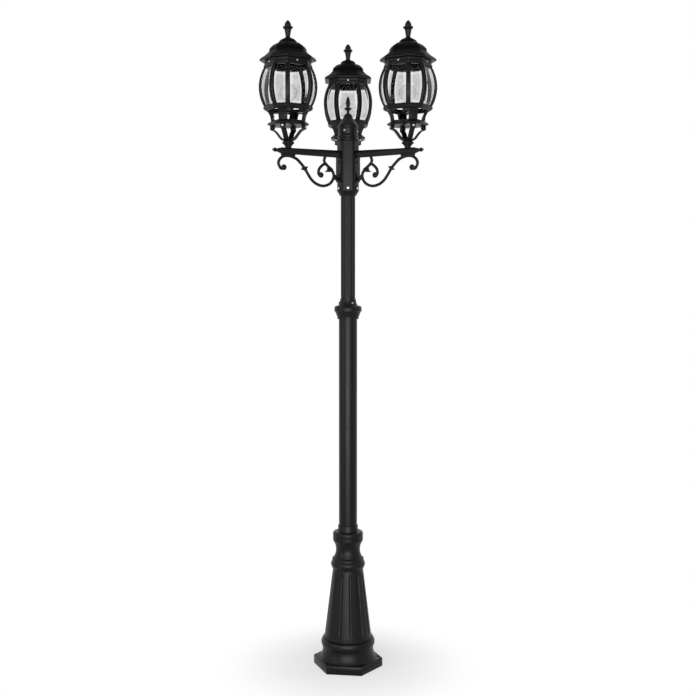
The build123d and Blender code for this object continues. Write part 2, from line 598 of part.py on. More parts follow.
def neck():
    """Collar on the arm, and four curved braces that carry the crown."""
    collar = round_stack([(10.5, BEAM_TOP), (10.5, 1870.0), (14.7, 1877.0), (COLLAR_FLANGE_RADIUS, 1883.0),
                          (COLLAR_FLANGE_RADIUS, 1885.5), (17.0, 1888.0), (16.5, 1894.0)])
    outline = [(8.0, 1887.0), (22.0, 1892.5), (29.0, 1898.0), (46.0, 1920.5), (55.0, 1926.5),
               (TAB_OUTER, 1928.0), (TAB_OUTER, CROWN_FLOOR), (TAB_INNER, CROWN_FLOOR), (TAB_INNER, LUG_BOTTOM),
               (50.0, 1930.0), (42.0, 1925.0), (25.0, 1903.5), (16.0, 1898.0), (8.0, 1896.0)]
    brace = extrude(Plane.XZ * Polygon(*outline, align=None), amount=BRACE_WIDTH / 2, both=True)
    brace -= screw_hole(FOOT_SCREW, LUG_INNER, TAB_OUTER + 1.0, FOOT_SCREW_HEIGHT)
    return collar + around(brace, NARROW_ANGLES)


def foot_screws():
    """Four radial screws that hold the crown on the braces."""
    return around(radial_screw(FOOT_SCREW, TAB_OUTER, FOOT_SCREW_TIP, FOOT_SCREW_HEIGHT), NARROW_ANGLES)


def bridge():
    """Strap across the gallery, with its ends bent down along two legs."""
    inside = octagon_stack(leg_levels(LEG_THICK))
    core = octagon_stack(leg_levels(LEG_THICK + BRIDGE_TAB_THICK))
    strap = Pos(0, 0, BRIDGE_TOP - BRIDGE_THICK / 2) * Box(200.0, BRIDGE_WIDTH, BRIDGE_THICK)
    tabs = Pos(0, 0, BRIDGE_TOP - BRIDGE_TAB_HEIGHT / 2) * Box(200.0, BRIDGE_WIDTH, BRIDGE_TAB_HEIGHT)
    turn = Rot(0, 0, -NARROW_ANGLES[0])
    blank = (inside & turn * strap) + ((inside - core) & turn * tabs)
    return blank - bore(BRIDGE_HOLE_RADIUS, BRIDGE_TOP - 2 * BRIDGE_THICK, BRIDGE_TOP + 1.0, 8)


def lampholder():
    """Cup on the bridge that takes the bulb's cap."""
    floor = BULB_CAP_BOTTOM - 0.5
    body = round_stack([(15.0, BRIDGE_TOP), (HOLDER_RADIUS, BRIDGE_TOP + 4.0), (HOLDER_RADIUS, HOLDER_TOP - 4.0),
                        (17.5, HOLDER_TOP)])
    return body - round_stack([(HOLDER_BORE, floor), (HOLDER_BORE, HOLDER_TOP + 1.0)])


def bulb_cap():
    """Metal cap of the bulb."""
    return round_stack([(5.0, BULB_CAP_BOTTOM), (BULB_CAP_RADIUS, BULB_CAP_BOTTOM + 3.0),
                        (BULB_CAP_RADIUS, BULB_NECK)])


def bulb_glass():
    """Globe of the bulb, with its neck on the cap."""
    levels = [(BULB_CAP_RADIUS - 0.6, BULB_NECK), (BULB_NECK_RADIUS, BULB_NECK + 5.0)]
    for band in range(BULB_BANDS):
        angle = radians(-50.0 + band * 130.0 / BULB_BANDS)
        levels.append((BULB_RADIUS * cos(angle), BULB_CENTRE + BULB_RADIUS * sin(angle)))
    return round_stack(levels + [(6.0, BULB_CENTRE + BULB_RADIUS)])


# ---- Writing ----

POST_PIECES = (base_foot, base_shaft, base_coupling, lower_pole, coupling_collar, collar_screws, upper_pole, hub,
               hub_screws, hub_cap, cap_screws, hub_finial)
ARM_PIECES = (arm, arm_screws, scroll)
LANTERN_PIECES = (neck, crown, foot_screws, bridge, lampholder, bulb_cap, bulb_glass, ribs, panes, cage_ring,
                  roof, roof_screws, roof_finial)


def write(name, shape, place=Pos(0, 0, 0)):
    """Write one node at its place, with its separate solids kept separate."""
    solids = []
    for piece in shape if isinstance(shape, list) else [shape]:
        solids += (place * piece).solids()
    export_step(solids[0] if len(solids) == 1 else Compound(children=solids), f"parts/{name}.step")


os.makedirs("parts", exist_ok=True)
for make in POST_PIECES:
    write(make.__name__, make())
for make in ARM_PIECES + LANTERN_PIECES:
    piece = make()
    reach = LANTERN_REACH if make in LANTERN_PIECES else 0
    for side, angle in ARM_ANGLES.items():
        write(f"{side}_{make.__name__}", piece, Rot(0, 0, angle) * Pos(reach, 0, 0))
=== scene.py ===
import logging
from dataclasses import dataclass
from enum import Enum
from math import atan2, cos, degrees, hypot, pi, radians, sin, sqrt, tan
from typing import Sequence

import bmesh
import bpy
from mathutils import Matrix, Vector


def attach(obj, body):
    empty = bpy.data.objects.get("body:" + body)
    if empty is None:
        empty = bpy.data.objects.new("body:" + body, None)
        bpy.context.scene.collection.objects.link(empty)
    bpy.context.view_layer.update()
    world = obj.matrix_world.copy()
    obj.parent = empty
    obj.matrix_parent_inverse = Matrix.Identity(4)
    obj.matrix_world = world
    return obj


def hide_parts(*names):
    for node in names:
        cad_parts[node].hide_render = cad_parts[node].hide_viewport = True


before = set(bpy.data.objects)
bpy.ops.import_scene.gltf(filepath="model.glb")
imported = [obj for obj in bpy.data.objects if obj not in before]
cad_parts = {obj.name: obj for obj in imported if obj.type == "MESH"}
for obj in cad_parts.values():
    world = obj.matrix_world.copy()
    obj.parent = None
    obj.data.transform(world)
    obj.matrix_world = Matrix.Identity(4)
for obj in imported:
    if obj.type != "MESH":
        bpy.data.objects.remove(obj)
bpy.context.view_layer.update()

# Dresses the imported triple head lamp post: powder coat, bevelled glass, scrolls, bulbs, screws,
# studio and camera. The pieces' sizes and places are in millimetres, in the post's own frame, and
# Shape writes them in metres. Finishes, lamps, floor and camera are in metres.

Pair = tuple[float, float]
Triple = tuple[float, float, float]
Profile = tuple[Pair, ...]
Socket = bpy.types.NodeSocket
Material = bpy.types.Material

MM = 0.001
NOISE_SPAN: Pair = (0.3, 0.7)
WELD_GAP = 0.00001
CURVE_ANGLE = 34.0
ROUNDED_ANGLE = 46.0
LOG = logging.getLogger("lamp_post")


class Side(Enum):
    """The three arms, each by its direction in degrees."""

    LEFT = -150.0
    RIGHT = -30.0
    REAR = 90.0

    def node(self, name: str) -> str:
        """Name of this side's CAD node."""
        return f"{self.name.lower()}_{name}"

    def turn(self) -> Matrix:
        """Turn from the drawing direction, +X, to this arm's direction."""
        return upright_turn(self.value)


def upright_turn(angle: float) -> Matrix:
    """Turn about the Z axis, in degrees."""
    return Matrix.Rotation(radians(angle), 4, "Z")


# ---- Finishes ----


class Graph:
    """A node tree, with short ways to add and join nodes."""

    def __init__(self, tree: bpy.types.NodeTree) -> None:
        """Takes the node tree."""
        self.tree = tree

    def add(self, kind: str, **settings: object) -> bpy.types.Node:
        """Adds a node and sets its properties."""
        node = self.tree.nodes.new(kind)
        for name, value in settings.items():
            setattr(node, name, value)
        return node

    def join(self, source: Socket, target: Socket) -> None:
        """Links an output to an input."""
        self.tree.links.new(source, target)

    def math(self, operation: str, first: Socket, second: Socket) -> Socket:
        """Joins two values by an operation of the Math node."""
        node = self.add("ShaderNodeMath", operation=operation)
        self.join(first, node.inputs[0])
        self.join(second, node.inputs[1])
        return node.outputs["Value"]

    def on_range(self, value: Socket, limits: Sequence[float], **settings: object) -> Socket:
        """Maps a value on another range.

        Args:
            value: What is mapped.
            limits: The range that it comes from and the range that it goes to.
            settings: Properties of the node.

        Returns:
            The mapped value.
        """
        node = self.add("ShaderNodeMapRange", **settings)
        for name, limit in zip(("From Min", "From Max", "To Min", "To Max"), limits):
            node.inputs[name].default_value = limit
        self.join(value, node.inputs["Value"])
        return node.outputs["Result"]

    def background_rays(self) -> Socket:
        """1 for rays from the camera, gloss or glass, and 0 for the rest."""
        path = self.add("ShaderNodeLightPath").outputs
        seen = self.math("MAXIMUM", path["Is Camera Ray"], path["Is Glossy Ray"])
        return self.math("MAXIMUM", seen, path["Is Transmission Ray"])


class Surface(Graph):
    """A material's node tree round its Principled shader."""

    def __init__(self, name: str) -> None:
        """Starts a material of this name."""
        self.material = bpy.data.materials.new(name)
        self.material.use_nodes = True
        super().__init__(self.material.node_tree)
        self.shader = self.tree.nodes["Principled BSDF"]
        self.output = self.tree.nodes["Material Output"]
        self.place = self.add("ShaderNodeTexCoord").outputs["Object"]

    def noise(self, scale: float, detail: float = 2.0) -> Socket:
        """Noise over the object's own place.

        Args:
            scale: Noise cells per metre.
            detail: Octaves.

        Returns:
            The noise's factor output.
        """
        node = self.add("ShaderNodeTexNoise")
        node.inputs["Scale"].default_value = scale
        node.inputs["Detail"].default_value = detail
        self.join(self.place, node.inputs["Vector"])
        return node.outputs["Fac"]

    def tones(self, factor: Socket, low: Triple, high: Triple) -> None:
        """Colours the shader between two linear tones, as a noise goes from low to high."""
        ramp = self.add("ShaderNodeValToRGB")
        for stop, place, tone in zip(ramp.color_ramp.elements, NOISE_SPAN, (low, high)):
            stop.position = place
            stop.color = (*tone, 1.0)
        self.join(factor, ramp.inputs["Fac"])
        self.join(ramp.outputs["Color"], self.shader.inputs["Base Color"])

    def relief(self, layers: Sequence[Triple]) -> None:
        """Bump from layers of noise, each with its scale, height in metres and strength."""
        normal = self.shader.inputs["Normal"]
        for scale, height, strength in reversed(layers):
            bump = self.add("ShaderNodeBump")
            bump.inputs["Distance"].default_value = height
            bump.inputs["Strength"].default_value = strength
            self.join(self.noise(scale, 3.0), bump.inputs["Height"])
            self.join(bump.outputs["Normal"], normal)
            normal = bump.inputs["Normal"]


@dataclass(frozen=True)
class Finish:
    """A finish of two tones, with an uneven gloss and a relief."""

    name: str
    low: Triple
    high: Triple
    roughness: Pair = (0.45, 0.6)
    tone_noise: Pair = (60.0, 2.0)
    gloss_scale: float = 200.0
    layers: tuple[Triple, ...] = ((1200.0, 0.00004, 0.4),)
    ior: float = 1.5
    specular: float = 0.5
    metallic: float = 0.0
    transmission: float = 0.0

    def material(self) -> Material:
        """Builds the finish."""
        surface = Surface(self.name)
        surface.tones(surface.noise(*self.tone_noise), self.low, self.high)
        gloss = surface.on_range(surface.noise(self.gloss_scale), (*NOISE_SPAN, *self.roughness))
        surface.join(gloss, surface.shader.inputs["Roughness"])
        for name, value in (("IOR", self.ior), ("Specular IOR Level", self.specular),
                            ("Metallic", self.metallic), ("Transmission Weight", self.transmission)):
            surface.shader.inputs[name].default_value = value
        surface.relief(self.layers)
        return surface.material


@dataclass(frozen=True)
class MouldedPlastic(Finish):
    """Matt moulded plastic."""


@dataclass(frozen=True)
class PowderCoat(Finish):
    """Black powder coat on metal."""

    low: Triple = (0.0014, 0.0014, 0.0015)
    high: Triple = (0.0028, 0.0028, 0.003)
    roughness: Pair = (0.34, 0.4)
    tone_noise: Pair = (18.0, 3.0)
    gloss_scale: float = 55.0
    layers: tuple[Triple, ...] = ((38.0, 0.00012, 0.35), (1500.0, 0.00003, 0.5))
    ior: float = 1.17
    specular: float = 1.0


@dataclass(frozen=True)
class ClearGlass(Finish):
    """Clear glass, with a faint unevenness."""

    low: Triple = (0.68, 0.685, 0.68)
    high: Triple = (0.84, 0.845, 0.84)
    roughness: Pair = (0.01, 0.03)
    tone_noise: Pair = (35.0, 2.0)
    gloss_scale: float = 30.0
    layers: tuple[Triple, ...] = ((9.0, 0.0001, 0.3),)
    ior: float = 1.18
    transmission: float = 1.0


@dataclass(frozen=True)
class BareMetal(Finish):
    """Bright metal, turned or plated."""

    roughness: Pair = (0.2, 0.35)
    tone_noise: Pair = (160.0, 2.0)
    gloss_scale: float = 420.0
    layers: tuple[Triple, ...] = ((900.0, 0.00003, 0.4),)
    metallic: float = 1.0


class Finishes:
    """Every finish of the lamp post, built once."""

    def __init__(self) -> None:
        """Builds the materials."""
        self.casting = PowderCoat("black_powder_coat_casting").material()
        # A duller copy of the coat for the roofs' faces above the eave. Its weak reflection is painted shade that
        # keeps those upward faces dark.
        self.roof = PowderCoat("black_powder_coat_roof_top_painted_shade", roughness=(0.42, 0.5), ior=1.06).material()
        self.pole = PowderCoat("black_powder_coat_pole", roughness=(0.3, 0.36),
                               layers=((38.0, 0.00006, 0.35), (1500.0, 0.00003, 0.5))).material()
        self.pane = ClearGlass("pane_glass").material()
        # The bevels' glass is a lighter copy of the panes' glass: a painted highlight for the light that the
        # bevelled borders catch.
        self.bevel = ClearGlass("pane_bevel_painted_highlight", (0.94, 0.95, 0.95), (0.97, 0.98, 0.98), (0.12, 0.2)).material()
        self.bulb = ClearGlass("bulb_clear_glass", (0.95, 0.95, 0.94), (0.97, 0.97, 0.96), ior=1.15).material()
        self.stem = ClearGlass("bulb_stem_glass", (0.88, 0.72, 0.38), (0.95, 0.82, 0.5), ior=1.3).material()
        self.screw = BareMetal("screw_steel", (0.42, 0.42, 0.43), (0.6, 0.6, 0.61)).material()
        self.dark_screw = BareMetal("screw_black_oxide", (0.014, 0.014, 0.015), (0.022, 0.022, 0.023)).material()
        # The sockets' near-black finish is painted shade, standing in for the shade inside the screws' hexagon
        # sockets.
        self.socket = MouldedPlastic("screw_socket_painted_shade", (0.01, 0.01, 0.01), (0.02, 0.02, 0.02)).material()
        self.brass = BareMetal("cap_brass", (0.6, 0.45, 0.2), (0.75, 0.58, 0.28)).material()
        self.wire = BareMetal("filament_wire", (0.4, 0.38, 0.35), (0.6, 0.56, 0.5)).material()
        self.plastic = MouldedPlastic("holder_plastic", (0.012,) * 3, (0.022,) * 3).material()


# ---- Meshes ----


@dataclass(frozen=True)
class Round:
    """Round section."""

    sides: int = 64

    def ring(self, radius: float, height: float) -> list[Vector]:
        """Points of one ring."""
        angles = [2 * pi * index / self.sides for index in range(self.sides)]
        return [Vector((radius * cos(angle), radius * sin(angle), height)) for angle in angles]


@dataclass(frozen=True)
class Cornered:
    """Polygon with rounded corners."""

    angles: tuple[float, ...]
    rounding: float = 1.6

    def ring(self, radius: float, height: float) -> list[Vector]:
        """Points of one ring, for the radius of its corners."""
        turns = [radians(angle) for angle in self.angles]
        corners = [Vector((radius * cos(turn), radius * sin(turn), height)) for turn in turns]
        return soften(corners, self.rounding, 3, True)


@dataclass(frozen=True)
class Fluted:
    """Round section with hollow flutes between two heights."""

    count: int
    first: float
    radius: float
    depth: float
    bottom: float
    top: float

    def ring(self, radius: float, height: float) -> list[Vector]:
        """Points of one ring."""
        lift = self.radius - self.depth
        half = sqrt(self.radius ** 2 - lift ** 2)
        past = max(self.bottom + half - height, height - self.top + half, 0.0)
        step = 360.0 / self.count
        edge = degrees(half / radius)
        turns = [edge * share / 4 for share in range(-4, 5)]
        turns += [edge + (step - 2 * edge) * share / 4 for share in (1, 2, 3)]
        points = []
        for index in range(self.count):
            for turn in turns:
                away = hypot(radians(turn) * radius, past)
                sunk = max(sqrt(max(self.radius ** 2 - away ** 2, 0.0)) - lift, 0.0) if turn <= edge else 0.0
                angle = radians(self.first + index * step + turn)
                points.append(Vector(((radius - sunk) * cos(angle), (radius - sunk) * sin(angle), height)))
        return points


Section = Round | Cornered | Fluted


def soften(points: Sequence[Vector], size: float, steps: int, closed: bool) -> list[Vector]:
    """Rounds the corners of a line of points.

    Args:
        points: The corners.
        size: How far from each corner the rounding starts.
        steps: Steps of each rounding.
        closed: Whether the line is a loop.

    Returns:
        The rounded line.
    """
    line = []
    for index, point in enumerate(points):
        if not closed and index in (0, len(points) - 1):
            line.append(point)
            continue
        before = points[index - 1]
        after = points[(index + 1) % len(points)]
        start = point.lerp(before, min(size / (before - point).length, 0.45))
        end = point.lerp(after, min(size / (after - point).length, 0.45))
        for step in range(steps + 1):
            share = step / steps
            line.append(start.lerp(point, share).lerp(point.lerp(end, share), share))
    return line


def outline(points: Profile, size: float = 0.8, closed: bool = False) -> list[Vector]:
    """Outline of a casting with softened corners.

    Args:
        points: Radius and height of each corner.
        size: Size of the corners' rounding.
        closed: Whether it is a loop.

    Returns:
        The outline's points.
    """
    return soften([Vector(point) for point in points], size, 2, closed)


def arc(start: Pair, middle: Pair, end: Pair, steps: int = 10) -> list[Pair]:
    """Points along the arc through three points.

    Args:
        start: First point.
        middle: A point that the arc goes through.
        end: Last point.
        steps: Steps of the arc.

    Returns:
        The points, both ends included.
    """
    (ax, ay), (bx, by), (cx, cy) = start, middle, end
    twice = 2 * (ax * (by - cy) + bx * (cy - ay) + cx * (ay - by))
    aa, bb, cc = ax ** 2 + ay ** 2, bx ** 2 + by ** 2, cx ** 2 + cy ** 2
    x = (aa * (by - cy) + bb * (cy - ay) + cc * (ay - by)) / twice
    y = (aa * (cx - bx) + bb * (ax - cx) + cc * (bx - ax)) / twice
    first = atan2(ay - y, ax - x)
    turn = atan2(cy - y, cx - x) - first
    turn -= 2 * pi * round(turn / (2 * pi))
    size = hypot(ax - x, ay - y)
    angles = [first + turn * step / steps for step in range(steps + 1)]
    return [(x + size * cos(angle), y + size * sin(angle)) for angle in angles]


def smooth_line(points: Profile, steps: int = 6) -> list[Vector]:
    """Points of a smooth curve in the XZ plane.

    Args:
        points: The (x, z) points that the curve goes through.
        steps: Steps between one point and the next.

    Returns:
        The curve's points.
    """
    knots = [Vector((x, 0.0, z)) for x, z in points]
    knots = [2 * knots[0] - knots[1], *knots, 2 * knots[-1] - knots[-2]]
    line = []
    for before, start, end, after in zip(knots, knots[1:], knots[2:], knots[3:]):
        bend = 2 * before - 5 * start + 4 * end - after
        twist = 3 * start - before - 3 * end + after
        for step in range(steps):
            t = step / steps
            line.append(0.5 * (2 * start + (end - before) * t + bend * t ** 2 + twist * t ** 3))
    line.append(knots[-2])
    return line


class Shape:
    """Vertices and faces of one piece, gathered in millimetres and then written as a mesh."""

    def __init__(self) -> None:
        """Starts empty."""
        self.points: list[Vector] = []
        self.faces: list[tuple[int, ...]] = []
        self.slots: list[int] = []

    def face(self, corners: Sequence[int], slot: int = 0) -> None:
        """Adds one face."""
        self.faces.append(tuple(corners))
        self.slots.append(slot)

    def skin(self, rings: Sequence[Sequence[Vector]], slot: int = 0, closed: bool = False) -> None:
        """Joins rings of points with quads.

        Args:
            rings: Rings with one count of points.
            slot: Material slot of the faces.
            closed: Whether the last ring joins the first. If not, both get an end face.
        """
        numbers = []
        for ring in rings:
            numbers.append(range(len(self.points), len(self.points) + len(ring)))
            self.points.extend(ring)
        above = numbers[1:] + numbers[:1] if closed else numbers[1:]
        for lower, upper in zip(numbers, above):
            for index, corner in enumerate(lower):
                after = (index + 1) % len(lower)
                self.face((corner, lower[after], upper[after], upper[index]), slot)
        if not closed:
            self.face(numbers[0][::-1], slot)
            self.face(numbers[-1], slot)

    def stack(self, levels: Sequence[Vector | Pair], section: Section, place: Matrix = Matrix(),
              slot: int = 0, closed: bool = False) -> None:
        """Adds rings of a section through an outline.

        Args:
            levels: Radius and height of each ring, outside first, from the bottom up.
            section: What one ring looks like.
            place: From the local frame to the post's.
            slot: Material slot.
            closed: Whether the outline is a loop, and not capped at its two ends.
        """
        rings = [[place @ point for point in section.ring(radius, height)] for radius, height in levels]
        self.skin(rings, slot, closed)

    def sweep(self, line: Sequence[Vector], section: Sequence[Pair], place: Matrix,
              scales: Sequence[float] = (1.0,)) -> None:
        """Sweeps a section along a line in the XZ plane.

        Args:
            line: Points of the line.
            section: Offsets in the line's plane and along Y.
            place: From the local frame to the post's.
            scales: Sizes of the section, spread evenly along the line.
        """
        rows = []
        for index, point in enumerate(line):
            ahead = line[min(index + 1, len(line) - 1)] - line[max(index - 1, 0)]
            side = Vector((-ahead.z, 0.0, ahead.x)).normalized()
            share = index / (len(line) - 1) * (len(scales) - 1)
            first = min(int(share), max(len(scales) - 2, 0))
            last = min(first + 1, len(scales) - 1)
            scale = scales[first] + (scales[last] - scales[first]) * (share - first)
            rows.append([place @ (point + side * (across * scale) + Vector((0.0, deep * scale, 0.0)))
                         for across, deep in section])
        self.skin(rows)

    def slab(self, corners: Sequence[Pair], half: float, edge: float, place: Matrix,
             rounding: float = 0.0) -> None:
        """Adds a flat piece with bevelled edges.

        Args:
            corners: Its outline in the XZ plane.
            half: Half of its thickness, along Y.
            edge: Width of the bevel.
            place: From the local frame to the post's.
            rounding: Size of the outline's rounded corners.
        """
        loop = [Vector(corner) for corner in corners]
        if rounding > 0.0:
            loop = soften(loop, rounding, 3, True)
        area = sum(a.cross(b) for a, b in zip(loop, loop[1:] + loop[:1]))
        hand = 1.0 if area > 0.0 else -1.0
        inner = []
        for before, point, after in zip(loop[-1:] + loop[:-1], loop, loop[1:] + loop[:1]):
            first = (point - before).normalized()
            second = (after - point).normalized()
            normal = Vector((-first.y - second.y, first.x + second.x)) * hand
            inner.append(point + normal.normalized() * edge)
        levels = ((inner, -half), (loop, edge - half), (loop, half - edge), (inner, half))
        self.skin([[place @ Vector((point.x, deep, point.y)) for point in points] for points, deep in levels])

    def settle(self, name: str, materials: Sequence[Material], body: str = "post",
               slot: str = "black_casting", node: str = "", sharp: float = 40.0) -> None:
        """Writes the mesh, smooth except at sharp edges, and rides the piece on its body.

        Args:
            name: Name of the piece.
            materials: One for each slot of the mesh.
            body: The CAD body that it moves with.
            slot: The record's material slot that it belongs to; not used.
            node: The CAD node that it replaces, or nothing.
            sharp: Least angle, in degrees, of an edge that stays sharp.
        """
        mesh = bpy.data.meshes.new(name)
        mesh.from_pydata([point * MM for point in self.points], [], self.faces)
        for material in materials:
            mesh.materials.append(material)
        mesh.polygons.foreach_set("material_index", self.slots)
        mesh.validate()
        mesh.shade_smooth()
        mesh.set_sharp_from_angle(angle=radians(sharp))
        work = bmesh.new()
        work.from_mesh(mesh)
        bmesh.ops.recalc_face_normals(work, faces=work.faces)
        work.to_mesh(mesh)
        work.free()
        piece = bpy.data.objects.new(name, mesh)
        bpy.context.scene.collection.objects.link(piece)
        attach(piece, body)
        if node:
            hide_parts(node)
        LOG.info("piece %s rides on %s", name, body)


def turned(points: Profile, sides: int = 72, place: Matrix = Matrix(), closed: bool = False) -> Shape:
    """Starts a shape with one turned outline.

    Args:
        points: The outline's corners.
        sides: Points round each ring.
        place: From the local frame to the post's.
        closed: Whether the outline is a loop.

    Returns:
        The shape.
    """
    shape = Shape()
    shape.stack(outline(points, closed=closed), Round(sides), place, closed=closed)
    return shape


def dress(node: str, material: Material, edge: float) -> None:
    """Gives a CAD node its finish, rounded edges and smooth curves.

    Args:
        node: The node's name.
        material: Its finish.
        edge: Width of the rounding, or 0 for none.
    """
    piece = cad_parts[node]
    mesh = piece.data
    mesh.materials.clear()
    mesh.materials.append(material)
    if "custom_normal" in mesh.attributes:
        mesh.attributes.remove(mesh.attributes["custom_normal"])
    mesh.shade_smooth()
    piece.modifiers.new("joined", "WELD").merge_threshold = WELD_GAP
    if edge > 0.0:
        rounding = piece.modifiers.new("rounding", "BEVEL")
        rounding.width = edge * MM
        rounding.segments = 2
        rounding.limit_method = "ANGLE"
        rounding.angle_limit = radians(CURVE_ANGLE)
    split = piece.modifiers.new("split", "EDGE_SPLIT")
    split.split_angle = radians(ROUNDED_ANGLE if edge > 0.0 else CURVE_ANGLE)
    LOG.info("node %s has %s", node, material.name)


# ---- Screws ----


@dataclass(frozen=True)
class ButtonScrew:
    """Button-headed screw whose hexagon socket is a thin dark disc on the head, painted shade standing in for the
    socket's hollow.
    """

    head_radius: float
    head_height: float
    shank_radius: float
    shank_length: float
    crown: float = 0.62
    wall: float = 0.3
    # Size and heights of the dark hexagon of painted shade that stands for the socket.
    socket: float = 0.5
    socket_levels: Pair = (1.002, 1.01)

    def draw(self, shape: Shape, place: Matrix) -> None:
        """Adds one screw, its seat at the local origin and its head along +Z.

        Args:
            shape: What the screw is added to.
            place: From the screw's frame to the post's.
        """
        dome = []
        for turn in (0.0, 22.5, 45.0, 67.5, 90.0):
            out, up = cos(radians(turn)), sin(radians(turn))
            dome.append((self.head_radius * (self.crown + (1 - self.crown) * out),
                         self.head_height * (self.wall + (1 - self.wall) * up)))
        shape.stack([(self.shank_radius, -self.shank_length), (self.shank_radius, 0.0),
                     (self.head_radius, 0.0), *dome], Round(24), place)
        # The socket is a thin dark hexagon just above the head's top, not a hollow: painted shade where the socket
        # would be.
        recess = self.head_radius * self.socket
        low, high = self.socket_levels
        shape.stack([(recess, self.head_height * low), (recess * 0.9, self.head_height * high)], Round(6), place, 1)


def facing(angle: float, seat: float, height: float, centre: Matrix = Matrix()) -> Matrix:
    """Place of a screw or boss that points away from an upright axis.

    Args:
        angle: Direction in degrees.
        seat: Distance of its seat from the axis.
        height: Its height.
        centre: Place of the axis.

    Returns:
        From the screw's frame to the post's.
    """
    outwards = upright_turn(angle) @ Matrix.Translation((seat, 0.0, height))
    return centre @ outwards @ Matrix.Rotation(pi / 2, 4, "Y")


def set_of_screws(name: str, screw: ButtonScrew, places: Sequence[Matrix], node: str,
                  finishes: Finishes, body: str = "post", dark: bool = False) -> None:
    """Makes one piece with a screw at each place.

    Args:
        name: The piece's name.
        screw: The kind of screw.
        places: Where they stand.
        node: The node that it replaces.
        finishes: The finishes.
        body: The CAD body that it moves with.
        dark: Whether the screws are blackened.
    """
    shape = Shape()
    for place in places:
        screw.draw(shape, place)
    coat = finishes.dark_screw if dark else finishes.screw
    shape.settle(name, [coat, finishes.socket], body, "screw_steel", node)


# ---- Post ----


